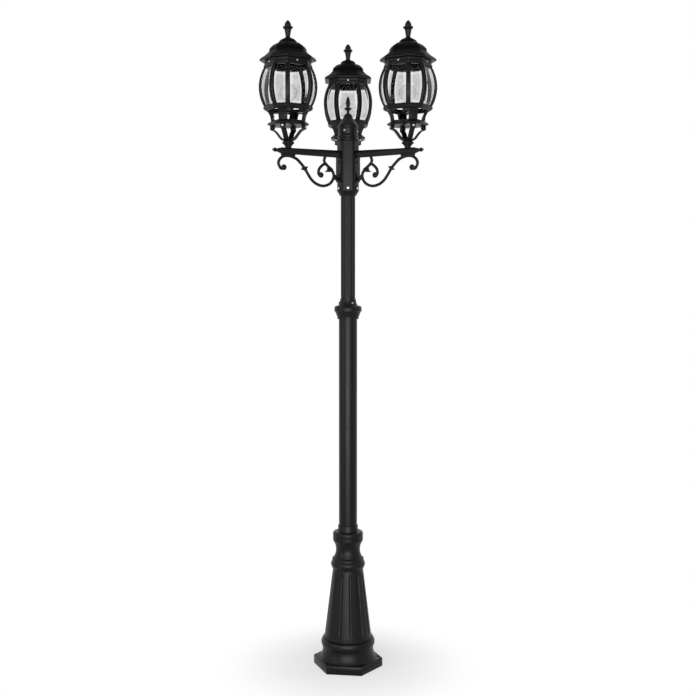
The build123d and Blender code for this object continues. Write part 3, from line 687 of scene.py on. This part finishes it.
@dataclass
class Post:
    """Base, poles, hub and cap. An outline is the radius and height of each corner."""

    finishes: Finishes
    shaft_foot: Profile = ((76.7, 104), (88, 104), (88, 112), (84.5, 116), (84.3, 119))
    taper_foot: Pair = (84.3, 120.0)
    taper_slope: float = 29.2 / 239.0
    taper_rises: tuple[float, ...] = (4.0, 4.5, 5.0, 6.0, 7.5, 10.0, 60.0, 120.0, 180.0, 216.0,
                                      220.5, 222.5, 224.0, 225.0, 225.5, 226.0)
    shaft_head: Profile = (
        (55.1, 359), (57, 361), *arc((58.6, 367), (62.2, 379), (57.4, 390)), (57.4, 392), (58.2, 394),
        (57.4, 399), (50.7, 404), (44.7, 404))
    waist_and_drum: Profile = (
        (33.3, 404), (50.7, 404), *arc((50, 406), (43.8, 432), (54.5, 464)), (55, 476.5), (53.9, 477.2),
        (53.9, 478.8), (55, 479.5), (55, 490), *arc((54.6, 492), (52.6, 495.8), (47.5, 498), 5), (36, 498),
        (36, 519), (35, 521), (33.3, 521))
    pole_collar: Profile = (
        (33.2, 1272), (38.4, 1272), (38.4, 1275), *arc((39, 1279), (41.6, 1287), (46.1, 1298), 6), (49.4, 1300),
        (49.4, 1312), (45.9, 1319), (37, 1320.5), *arc((34.5, 1322.5), (30.6, 1330), (28.6, 1345), 8),
        (25.9, 1345))
    collar_boss: Profile = ((5, 26), (5, 32.4), (2, 32.4))
    collar_angles: tuple[float, ...] = (180.0, -60.0, 60.0)
    collar_height: float = 1330.0
    pole_radius: float = 25.8
    pole_heights: tuple[float, ...] = (1306.0, 1350.0, 1352.0, 1352.6, 1353.4, 1354.4, 1356.0, 1740.0, 1745.0)
    hub_core: Profile = ((40.2, 1728), (41, 1729), (41, 1904), (40.2, 1905))
    hub_cone: Profile = ((26, 1712), (28.4, 1712), (38.4, 1728), (38.4, 1730))
    hub_head: Profile = (
        (34, 1904), (34, 1906), (38, 1907), (38, 1912), (35.4, 1914.5), (35.4, 1917), (37.2, 1919.5),
        (37.2, 1924), (34.6, 1926), (34.6, 1930), (30.5, 1930), (30.5, 1946))
    hub_boss: Profile = ((7, 30), (7, 38.507), (2, 38.507))
    hub_angles: tuple[float, ...] = (30.0, 90.0, 150.0, 210.0, 270.0, 330.0)
    hub_boss_height: float = 1738.0
    dome: Profile = (
        (30.6, 1930), (33.8, 1930), (33.8, 1949.5), (36.6, 1952), (36.6, 1959), (34.5, 1962.5), (27, 1974),
        (18.5, 1985), (17.4, 1988), (15, 1994), *arc((14, 1996.5), (11.5, 1999.8), (8, 2002), 4), (0.4, 2002),
        (0.4, 1982), (13, 1982), (21, 1972), (30.6, 1956))
    cap_angles: tuple[float, ...] = (-112.0, 8.0, 128.0)
    cap_seat: float = 33.8
    cap_screw_height: float = 1941.0
    spear: Profile = (
        (0.4, 2002), (5, 2002), (4.4, 2013), (12, 2017.4), (13.5, 2018.6), (13.5, 2021), (11, 2022.6),
        (4.6, 2026), (6.6, 2030), *arc((8, 2034), (7, 2047), (1, 2064)), (0.2, 2064))

    def build(self) -> None:
        """Dresses the castings and tubes, and makes the screws."""
        dress("base_foot", self.finishes.casting, 0.6)
        dress("lower_pole", self.finishes.pole, 0.0)
        coat = [self.finishes.casting]
        self.shaft().settle("fluted_base_shaft", coat, node="base_shaft", sharp=34.0)
        turned(self.waist_and_drum, closed=True).settle("base_waist_and_drum", coat, node="base_coupling")
        self.collar().settle("coupling_collar_casting", coat, node="coupling_collar")
        self.fluted_pole().settle("fluted_pole_tube", [self.finishes.pole], "post", "black_pole", "upper_pole", 30.0)
        self.hub().settle("hub_casting", coat, node="hub")
        turned(self.dome, closed=True).settle("hub_cap_dome", coat, node="hub_cap")
        turned(self.spear).settle("hub_spear", coat, node="hub_finial")
        self.screws()

    def shaft(self) -> Shape:
        """Fluted taper with a double bead."""
        radius, foot = self.taper_foot
        taper = [(radius, foot), (84, 122.4)]
        taper += [(radius - self.taper_slope * rise, foot + rise) for rise in self.taper_rises]
        shape = Shape()
        shape.stack([*outline(self.shaft_foot), *taper, *outline(self.shaft_head, 0.6)],
                    Fluted(12, -82.5, 6.4, 3.6, 124.0, 346.0))
        return shape

    def collar(self) -> Shape:
        """Stepped collar between the wide pole and the thin one, with three screw bosses."""
        shape = turned(self.pole_collar, closed=True)
        for angle in self.collar_angles:
            shape.stack(outline(self.collar_boss, 0.5), Round(24), facing(angle, 0.0, self.collar_height))
        return shape

    def fluted_pole(self) -> Shape:
        """Thin pole with twenty narrow flutes."""
        shape = Shape()
        levels = [(self.pole_radius, height) for height in self.pole_heights]
        shape.stack(levels, Fluted(20, 0.0, 3.15, 1.0, 1352.0, 1800.0))
        return shape

    def hub(self) -> Shape:
        """Six-sided casting with a turned head and screw bosses."""
        shape = Shape()
        shape.stack(outline(self.hub_core), Cornered(tuple(60.0 * index for index in range(6)), 8.0))
        for part in (self.hub_cone, self.hub_head):
            shape.stack(outline(part), Round(72))
        for angle in self.hub_angles:
            shape.stack(outline(self.hub_boss, 0.6), Round(32), facing(angle, 0.0, self.hub_boss_height))
        return shape

    def screws(self) -> None:
        """Screws on the hub's bosses, on the hub cap and in the coupling collar."""
        hub_seat, collar_seat = self.hub_boss[-1][1], self.collar_boss[-1][1]
        for kind, screw, angles, seat, height in (
                ("hub", ButtonScrew(5.0, 3.0, 2.5, 12.0), self.hub_angles, hub_seat, self.hub_boss_height),
                ("cap", ButtonScrew(3.6, 2.4, 2.0, 3.0), self.cap_angles, self.cap_seat, self.cap_screw_height),
                ("collar", ButtonScrew(3.4, 2.6, 2.0, 6.0), self.collar_angles, collar_seat, self.collar_height)):
            places = [facing(angle, seat, height) for angle in angles]
            set_of_screws(f"{kind}_screw_set", screw, places, f"{kind}_screws", self.finishes)


# ---- Arms ----


@dataclass
class Arm:
    """One arm with its scroll, drawn along +X. A line or plate is the x and z of each point."""

    side: Side
    finishes: Finishes
    plate_face: float = 39.507
    screw_heights: Pair = (1785.0, 1829.0)
    main_line: Profile = (
        (93, 1846), (97, 1831), (88, 1818), (68.3, 1802), (58.6, 1784.5), (62.5, 1766), (77.7, 1750),
        (102, 1743), (127, 1748.5), (146.6, 1762), (160, 1779), (174.8, 1801), (189.4, 1817), (208, 1832),
        (236, 1840), (262, 1835), (276, 1816), (268, 1797), (255, 1795))
    inner_line: Profile = ((94, 1822), (108, 1812), (118, 1799), (119, 1784), (110, 1776))
    curls: Profile = ((255, 1800), (110, 1781))
    curl_size: Pair = (10.2, 6.2)
    spike: Profile = ((66, 1806), (73, 1799.5), (82, 1797), (95, 1792.5))
    leaf: Profile = ((76, 1812), (81, 1806), (86, 1802))
    knot: Profile = (
        (187.5, 1794.5), (179.5, 1803.5), (180.5, 1810), (174, 1806.5), (163, 1807.5), (170.5, 1798.5),
        (169.5, 1792), (176, 1795.5))
    lug: Profile = ((39.7, 1762), (46, 1762), (62, 1774), (56, 1786), (39.7, 1775))
    saddle: Profile = ((212, 1846), (214, 1834.5), (240, 1839), (262, 1834.5), (266, 1846))
    bar: Profile = (
        (4.9, -1.6), (4.9, 1.6), (2.9, 4.0), (1.2, 4.7), (-1.2, 4.7), (-2.9, 4.0), (-4.9, 1.6), (-4.9, -1.6),
        (-2.9, -4.0), (-1.2, -4.7), (1.2, -4.7), (2.9, -4.0))

    def build(self) -> None:
        """Dresses the beam, and makes the scroll and the screws."""
        dress(self.side.node("arm"), self.finishes.casting, 0.5)
        self.scroll()
        places = [facing(0.0, self.plate_face, height, self.side.turn()) for height in self.screw_heights]
        set_of_screws(self.side.node("arm_screw_pair"), ButtonScrew(5.0, 3.4, 3.0, 16.0), places,
                      self.side.node("arm_screws"), self.finishes, dark=True)

    def scroll(self) -> None:
        """Wrought scroll: two ridged bars, curls, a leaf spike, a knot, a lug and a saddle."""
        shape = Shape()
        place = self.side.turn()
        shape.sweep(smooth_line(self.main_line), self.bar, place)
        shape.sweep(smooth_line(self.inner_line), self.bar, place)
        wide, high = self.curl_size
        ball = [(wide * cos(radians(angle)), high * sin(radians(angle))) for angle in range(-80, 81, 16)]
        for x, z in self.curls:
            shape.stack(ball, Round(32), place @ Matrix.Translation((x, 0.0, z)) @ Matrix.Rotation(pi / 2, 4, "X"))
        shape.sweep(smooth_line(self.spike, 5), self.bar, place, (1.15, 1.3, 0.95, 0.12))
        shape.sweep(smooth_line(self.leaf, 5), self.bar, place, (1.0, 0.9, 0.2))
        shape.slab(self.knot, 6.0, 0.9, place, 1.2)
        shape.slab(self.lug, 4.5, 0.8, place, 2.0)
        shape.slab(self.saddle, 4.5, 0.7, place, 1.0)
        shape.settle(self.side.node("ridged_scroll"), [self.finishes.casting], node=self.side.node("scroll"))


# ---- Lanterns ----


@dataclass
class Lantern:
    """One lantern, drawn about its own axis with its arm along +X."""

    side: Side
    finishes: Finishes
    reach: float = 238.0
    neck_collar: Profile = (
        (10.5, 1867.4), (10.5, 1869.5), (11.6, 1872), (14.7, 1877), (21.5, 1882.6), (21.5, 1885.6), (17, 1888),
        (16.5, 1893), (14, 1894.6))
    brace: Profile = (
        (8, 1887), (22, 1892.5), (29, 1898), (37, 1909), (46, 1920.5), (55, 1926.5), (63.5, 1928), (63.5, 1942),
        (57.8, 1942), (57.8, 1932), (50, 1930), (42, 1925), (33, 1914), (25, 1903.5), (16, 1898), (8, 1896))
    foot_seat: float = 63.5
    foot_screw_height: float = 1936.5
    gallery: Profile = ((78, 1992), (83, 1996), (86, 2000), (86, 2002), (83.6, 2009), (74, 2009), (70.5, 1992))
    dish: Profile = (
        (6, 1942), (66, 1942), (73, 1946.8), (73, 1948.2), (68, 1951), (61, 1957), (55.6, 1957), (57, 1947),
        (6, 1947))
    leg_line: Profile = ((72, 1995), (65.5, 1988), (58.6, 1975), (55.6, 1960), (55, 1950))
    leg_section: Profile = ((-2.3, -15.5), (2.3, -15.5), (2.3, 15.5), (-2.3, 15.5))
    lug: Profile = ((50, 1932), (57.7, 1932), (57.7, 1944), (50, 1944))
    lug_half: float = 8.5
    wide_half_angle: float = 27.5
    cage_arc: Triple = (132.0, -32.0, 2073.0)
    cage_bottom: float = 2009.0
    cage_top: float = 2139.0
    cage_steps: int = 16
    rib_half: float = 8.0
    rib_front: Profile = (
        (-8.0, 1.6), (-8.0, 0.6), (-5.4, -2.4), (-4.8, -2.4), (-1.5, -0.9), (-0.9, 1.2), (0.9, 1.2), (1.5, -0.9),
        (4.8, -2.4), (5.4, -2.4), (8.0, 0.6), (8.0, 1.6), (8.0, 6.0), (0.0, 6.0), (-8.0, 6.0))
    pane_gap: float = 0.1
    pane_setback: float = 2.0
    pane_thick: float = 3.0
    bevel_width: float = 8.0
    bevel_drop: float = 1.3
    top_ring: Profile = (
        (82.3, 2139), (84, 2140.5), (84, 2146), (76.7, 2146), (76.7, 2158), (70, 2158), (70, 2139))
    roof_shell: Profile = (
        (81.6, 2146.4), (81.6, 2150.4), (79.8, 2151.4), (79.8, 2152.6), (81, 2153.6), (81, 2160.4), (82.4, 2161),
        (96.4, 2161), (97.9, 2162.4), (97.9, 2166.6), (95.8, 2168.2), (95, 2170.2),
        *arc((89, 2174.2), (75.5, 2183.3), (65.5, 2193), 8), (64.2, 2198),
        *arc((63.4, 2203), (53.6, 2213.3), (34.5, 2222.5), 10), (31.4, 2224), (30.6, 2228.5), (24, 2234.5),
        (11, 2240), (0.5, 2240), (0.5, 2219), (24, 2219), (57, 2203), (59, 2193), (68, 2180), (77.5, 2163),
        (77.5, 2146.4))
    eave_top: float = 2167.0
    skirt_radius: float = 81.0
    roof_screw_height: float = 2154.0
    bud: Profile = (
        (10.8, 2240), (8.2, 2244), (7.9, 2247), (9, 2253), (11.7, 2268), (17, 2273.6), (17.8, 2274.8),
        (17.8, 2276.6), (16.4, 2278), (11, 2279.6), (11.6, 2282.5), *arc((11, 2285.5), (7.2, 2294), (1, 2300), 7))
    cup: Profile = (
        (0.5, 1990), (15, 1990), (19, 1994), (19, 2008), (17.5, 2012), (14.8, 2012), (14.8, 1993.5), (0.5, 1993.5))
    bulb_radius: float = 30.0
    bulb_wall: float = 0.8
    bulb_centre: float = 2055.0
    bulb_neck: float = 2013.0
    bulb_neck_size: Pair = (13.6, 5.0)
    cap_bottom: float = 1994.0
    cap_radius: float = 13.2
    cap_foot: Profile = ((4.6, 1994), (5, 1995), (10.5, 1996.7))
    thread_start: float = 2.6
    thread_height: float = 16.2
    thread_pitch: float = 3.6
    thread_depth: float = 0.5
    thread_steps: int = 36
    stem: Profile = ((9.5, 0), (8, 8), (5.5, 22), (3, 32))
    wires: tuple[tuple[float, Profile], ...] = (
        (0.35, ((-2, 20), (-5, 32), (-9, 42))), (0.35, ((2, 20), (5, 32), (9, 42))),
        (0.5, ((-9, 42), (-4.5, 45), (0, 44), (4.5, 45), (9, 42))))

    def build(self) -> None:
        """Dresses the castings, and makes the glass, the bulb and the screws."""
        dress(self.side.node("bridge"), self.finishes.casting, 0.5)
        self.neck()
        self.crown()
        self.ribs()
        self.fit(self.octagonal(self.top_ring), "cage_top_ring", "cage_ring")
        self.roof()
        self.fit(turned(self.bud, 40, self.place()), "bud_finial", "roof_finial", body="roof_body")
        self.fit(turned(self.cup, 40, self.place(), True), "lampholder_cup", "lampholder", self.finishes.plastic,
                 slot="holder_plastic")
        self.glass()
        self.bulb()
        self.bulb_cap()
        self.filament()
        self.screws()

    def place(self, turn: float = 0.0) -> Matrix:
        """From the lantern's frame, turned by some degrees, to the post's."""
        return self.side.turn() @ Matrix.Translation((self.reach, 0.0, 0.0)) @ upright_turn(turn)

    def quarters(self) -> list[Matrix]:
        """Places turned to the four narrow sides."""
        return [self.place(45.0 + 90.0 * quarter) for quarter in range(4)]

    def corners(self) -> list[tuple[float, int]]:
        """Direction of each corner, with the hand on which its narrow face lies."""
        return [(90.0 * quarter + hand * self.wide_half_angle, hand) for quarter in range(4) for hand in (-1, 1)]

    def octagonal(self, *rings: Profile, size: float = 0.8) -> Shape:
        """Starts a shape with eight-sided rings, each with the radius of its corners."""
        shape = Shape()
        section = Cornered(tuple(angle for angle, _ in self.corners()))
        for points in rings:
            shape.stack(outline(points, size, True), section, self.place(), closed=True)
        return shape

    def fit(self, shape: Shape, name: str, node: str, *materials: Material, body: str = "",
            slot: str = "black_casting", sharp: float = 40.0) -> None:
        """Settles a piece of the lantern.

        Args:
            shape: Its mesh so far.
            name: Name of the piece, without the side.
            node: The node that it replaces, without the side, or nothing.
            materials: One for each slot of the mesh, or none for the castings' finish.
            body: The CAD body that it moves with, without the side, or nothing for the post.
            slot: The record's material slot.
            sharp: Least angle, in degrees, of an edge that stays sharp.
        """
        shape.settle(self.side.node(name), materials or [self.finishes.casting],
                     self.side.node(body) if body else "post", slot, self.side.node(node) if node else "", sharp)

    def neck(self) -> None:
        """Collar on the arm and four curved braces."""
        shape = turned(self.neck_collar, 48, self.place())
        for place in self.quarters():
            shape.slab(self.brace, self.lug_half, 0.7, place, 3.0)
        self.fit(shape, "collar_and_braces", "neck")

    def crown(self) -> None:
        """Gallery ring, four bent legs, dish and lugs."""
        shape = self.octagonal(self.gallery, self.dish)
        line = smooth_line(self.leg_line, 5)
        section = soften([Vector(corner) for corner in self.leg_section], 0.8, 3, True)
        for place in self.quarters():
            shape.sweep(line, section, place)
            shape.slab(self.lug, self.lug_half, 0.6, place)
        self.fit(shape, "gallery_legs_and_dish", "crown")

    def cage_radius(self, height: float) -> float:
        """Corner radius of the cage at a height."""
        radius, centre, middle = self.cage_arc
        return centre + sqrt(radius ** 2 - (height - middle) ** 2)

    def ribs(self) -> None:
        """Eight bent corner ribs, each with a groove down its middle."""
        rise = (self.cage_top - self.cage_bottom) / self.cage_steps
        shape = Shape()
        for angle, hand in self.corners():
            local = self.place(angle)
            rows = []
            for step in range(self.cage_steps + 1):
                height = self.cage_bottom + rise * step
                row = []
                for across, deep in self.rib_front:
                    lean = 45.0 - self.wide_half_angle if across * hand > 0 else self.wide_half_angle
                    away = self.cage_radius(height) - abs(across) * tan(radians(lean)) - deep
                    row.append(local @ Vector((away, across, height)))
                rows.append(row)
            shape.skin(rows)
        self.fit(shape, "grooved_ribs", "ribs")

    def roof(self) -> None:
        """Hollow roof with a skirt, an eave, a flare and a dome. Above the eave it takes a duller copy of the coat:
        painted shade that keeps the upward faces dark.
        """
        shape = self.octagonal(self.roof_shell, size=0.7)
        # Faces above the eave take the duller copy of the coat, painted shade on the roof's upper side.
        shape.slots = [int(min(shape.points[corner].z for corner in face) > self.eave_top) for face in shape.faces]
        self.fit(shape, "flared_roof", "roof", self.finishes.casting, self.finishes.roof, body="roof_body")

    def pane(self, shape: Shape, turn: float, half: float) -> None:
        """Adds one bent pane with a bevelled border.

        Args:
            shape: What the pane is added to.
            turn: Direction of its side in degrees.
            half: Half of the angle that its side takes, in degrees.
        """
        low, high = self.cage_bottom + self.pane_gap, self.cage_top - self.pane_gap
        rise = (high - low - 2 * self.bevel_width) / self.cage_steps
        heights = [low, *(low + self.bevel_width + rise * step for step in range(self.cage_steps + 1)), high]
        local = self.place(turn)
        sine, cosine = sin(radians(half)), cos(radians(half))
        front, back = [], []
        for height in heights:
            corner = self.cage_radius(height)
            width = (corner - self.pane_setback) * sine - self.rib_half / cosine - self.pane_gap
            flat = width - self.bevel_width
            for across in (-width, -flat, -flat / 3, flat / 3, flat, width):
                border = height in (low, high) or abs(across) == width
                depth = self.pane_setback + (self.bevel_drop if border else 0.0)
                front.append(local @ Vector((corner * cosine - depth, across, height)))
                depth = self.pane_setback + self.pane_thick
                back.append(local @ Vector((corner * cosine - depth, across, height)))
        start = len(shape.points)
        behind = len(front)
        shape.points += front + back
        last = len(heights) - 1
        for row in range(last):
            for column in range(5):
                near = start + 6 * row + column
                far = near + behind
                # Border faces take the lighter glass, a painted highlight on the bevels.
                slot = int(row in (0, last - 1) or column in (0, 4))
                shape.face((near, near + 1, near + 7, near + 6), slot)
                shape.face((far, far + 6, far + 7, far + 1), slot)
            for near in (start + 6 * row, start + 6 * row + 5):
                shape.face((near, near + 6, near + 6 + behind, near + behind), 1)
        for row in (0, last):
            for near in range(start + 6 * row, start + 6 * row + 5):
                shape.face((near, near + 1, near + 1 + behind, near + behind), 1)

    def glass(self) -> None:
        """Eight bent, bevelled panes between the ribs."""
        shape = Shape()
        for quarter in range(4):
            self.pane(shape, 90.0 * quarter, self.wide_half_angle)
            self.pane(shape, 90.0 * quarter + 45.0, 45.0 - self.wide_half_angle)
        self.fit(shape, "bevelled_panes", "panes", self.finishes.pane, self.finishes.bevel, slot="pane_glass",
                 sharp=6.0)

    def bulb_outline(self, wall: float) -> list[Pair]:
        """Outline of the globe and its neck, drawn in by the wall's thickness."""
        radius = self.bulb_radius - wall
        neck, rise = self.bulb_neck_size
        points = [(neck - wall, self.bulb_neck), (neck - wall, self.bulb_neck + rise)]
        for turn in range(-58, 90, 8):
            points.append((radius * cos(radians(turn)), self.bulb_centre + radius * sin(radians(turn))))
        return points + [(0.4, self.bulb_centre + radius)]

    def bulb(self) -> None:
        """Clear globe, a thin shell of glass, open at its neck."""
        shape = Shape()
        loop = self.bulb_outline(0.0) + self.bulb_outline(self.bulb_wall)[::-1]
        shape.stack(loop, Round(48), self.place(), closed=True)
        self.fit(shape, "bulb_globe", "bulb_glass", self.finishes.bulb, body="bulb_body", slot="bulb_glass")

    def bulb_cap(self) -> None:
        """Screw cap with its rolled thread."""
        place = self.place()
        rows = []
        for step in range(self.thread_steps + 1):
            height = self.cap_bottom + self.thread_start + self.thread_height * step / self.thread_steps
            row = []
            for index in range(self.thread_steps):
                angle = 2 * pi * index / self.thread_steps
                wave = sin(2 * pi * height / self.thread_pitch - angle)
                radius = self.cap_radius - self.thread_depth * (1.0 - wave)
                row.append(place @ Vector((radius * cos(angle), radius * sin(angle), height)))
            rows.append(row)
        shape = Shape()
        shape.skin(rows)
        shape.stack(self.cap_foot, Round(24), place)
        self.fit(shape, "bulb_screw_cap", "bulb_cap", self.finishes.brass, body="bulb_body", slot="cap_metal")

    def filament(self) -> None:
        """Glass stem, two lead wires and a bowed filament inside the globe."""
        place = self.place() @ Matrix.Translation((0.0, 0.0, self.bulb_neck + 1.0))
        shape = Shape()
        shape.stack(self.stem, Round(24), place, 1)
        for radius, line in self.wires:
            section = [(point.x, point.y) for point in Round(6).ring(radius, 0.0)]
            shape.sweep(smooth_line(line), section, place)
        self.fit(shape, "bulb_filament", "", self.finishes.wire, self.finishes.stem, body="bulb_body",
                 slot="cap_metal")

    def screws(self) -> None:
        """Four screws in the braces' feet and four in the roof's skirt."""
        skirt = self.skirt_radius * cos(radians(self.wide_half_angle))
        for kind, screw, first, seat, height, body in (
                ("foot", ButtonScrew(4.2, 2.6, 2.0, 12.0), 45.0, self.foot_seat, self.foot_screw_height, "post"),
                ("roof", ButtonScrew(3.6, 2.2, 2.0, 3.2), 0.0, skirt, self.roof_screw_height,
                 self.side.node("roof_body"))):
            places = [facing(first + 90.0 * index, seat, height, self.place()) for index in range(4)]
            set_of_screws(self.side.node(f"{kind}_screw_set"), screw, places, self.side.node(f"{kind}_screws"),
                          self.finishes, body)


# ---- Studio ----


@dataclass
class PhotoCamera:
    """The camera of the photograph, fitted to the post."""

    distance: float = 3.7
    height: float = 1.4081
    pitch: float = 3.727
    lens: float = 53.10
    sensor: float = 36.0

    def build(self) -> None:
        """Makes the camera and sets it as the scene's."""
        data = bpy.data.cameras.new("photo_camera")
        data.lens = self.lens
        data.sensor_width = self.sensor
        data.clip_end = 100.0
        camera = bpy.data.objects.new("photo_camera", data)
        camera.location = (0.0, -self.distance, self.height)
        camera.rotation_euler = (radians(90.0 - self.pitch), 0.0, 0.0)
        bpy.context.scene.collection.objects.link(camera)
        bpy.context.scene.camera = camera


@dataclass
class SoftLamp:
    """One rectangular soft light that faces the post."""

    name: str
    place: Triple
    size: Pair
    power: float

    def build(self) -> None:
        """Makes the lamp, turned towards the post's middle and kept out of the glass."""
        data = bpy.data.lights.new(self.name, "AREA")
        data.shape = "RECTANGLE"
        data.size, data.size_y = self.size
        data.energy = self.power
        lamp = bpy.data.objects.new(self.name, data)
        lamp.location = self.place
        aim = Vector((0.0, 0.0, 1.2)) - Vector(self.place)
        lamp.rotation_euler = aim.to_track_quat("-Z", "Y").to_euler()
        lamp.visible_transmission = False
        bpy.context.scene.collection.objects.link(lamp)


@dataclass
class Studio:
    """Pale floor, white surroundings and soft lamps."""

    floor_half: float = 30.0
    floor_tone: float = 0.95
    shade_from: float = 0.15
    shade_to: float = 0.5
    shade_share: float = 0.5
    ambient: float = 0.4
    lamps: tuple[SoftLamp, ...] = (
        SoftLamp("front_lamp", (-0.2, -4.0, 1.7), (4.2, 2.4), 115.0),
        SoftLamp("low_front_lamp", (-0.2, -4.1, 0.4), (3.0, 0.75), 76.0),
        SoftLamp("left_edge_lamp", (-3.4, -1.9, 1.6), (0.9, 2.8), 25.0),
        SoftLamp("right_edge_lamp", (3.4, 0.2, 2.0), (0.8, 2.4), 5.0),
        SoftLamp("rear_lamp", (0.6, 3.0, 3.4), (1.6, 1.6), 5.0),
    )

    def build(self) -> None:
        """Makes the floor, the world and the lamps."""
        self.floor()
        self.world()
        for lamp in self.lamps:
            lamp.build()
        bpy.context.scene.view_settings.view_transform = "Standard"

    def floor(self) -> None:
        """Plain floor that turns to plain white away from the post."""
        half = self.floor_half
        mesh = bpy.data.meshes.new("studio_floor")
        mesh.from_pydata([(-half, -half, 0.0), (half, -half, 0.0), (half, half, 0.0), (-half, half, 0.0)], [],
                         [(0, 1, 2, 3)])
        floor = bpy.data.objects.new("studio_floor", mesh)
        bpy.context.scene.collection.objects.link(floor)
        surface = Surface("floor_white")
        surface.shader.inputs["Base Color"].default_value = (self.floor_tone,) * 3 + (1.0,)
        surface.shader.inputs["Roughness"].default_value = 0.9
        surface.shader.inputs["Specular IOR Level"].default_value = 0.0
        glow = surface.add("ShaderNodeEmission")
        away = surface.add("ShaderNodeVectorMath", operation="LENGTH")
        surface.join(surface.place, away.inputs[0])
        white = surface.on_range(away.outputs["Value"], (self.shade_from, self.shade_to, 1.0 - self.shade_share),
                                 interpolation_type="SMOOTHSTEP")
        mix = surface.add("ShaderNodeMixShader")
        surface.join(surface.math("MULTIPLY", white, surface.background_rays()), mix.inputs["Fac"])
        surface.join(surface.shader.outputs["BSDF"], mix.inputs[1])
        surface.join(glow.outputs["Emission"], mix.inputs[2])
        surface.join(mix.outputs["Shader"], surface.output.inputs["Surface"])
        mesh.materials.append(surface.material)

    def world(self) -> None:
        """White surroundings, a little weaker as light."""
        world = bpy.data.worlds.new("studio_world")
        world.use_nodes = True
        bpy.context.scene.world = world
        graph = Graph(world.node_tree)
        background = graph.tree.nodes["Background"]
        background.inputs["Color"].default_value = (1.0, 1.0, 1.0, 1.0)
        strength = graph.on_range(graph.background_rays(), (0.0, 1.0, self.ambient, 1.0))
        graph.join(strength, background.inputs["Strength"])


def main() -> None:
    """Builds the camera, the studio and every sub-assembly, in order."""
    logging.basicConfig(level=logging.INFO, format="%(message)s")
    PhotoCamera().build()
    Studio().build()
    finishes = Finishes()
    Post(finishes).build()
    for side in Side:
        Arm(side, finishes).build()
        Lantern(side, finishes).build()


if __name__ == "__main__":
    main()
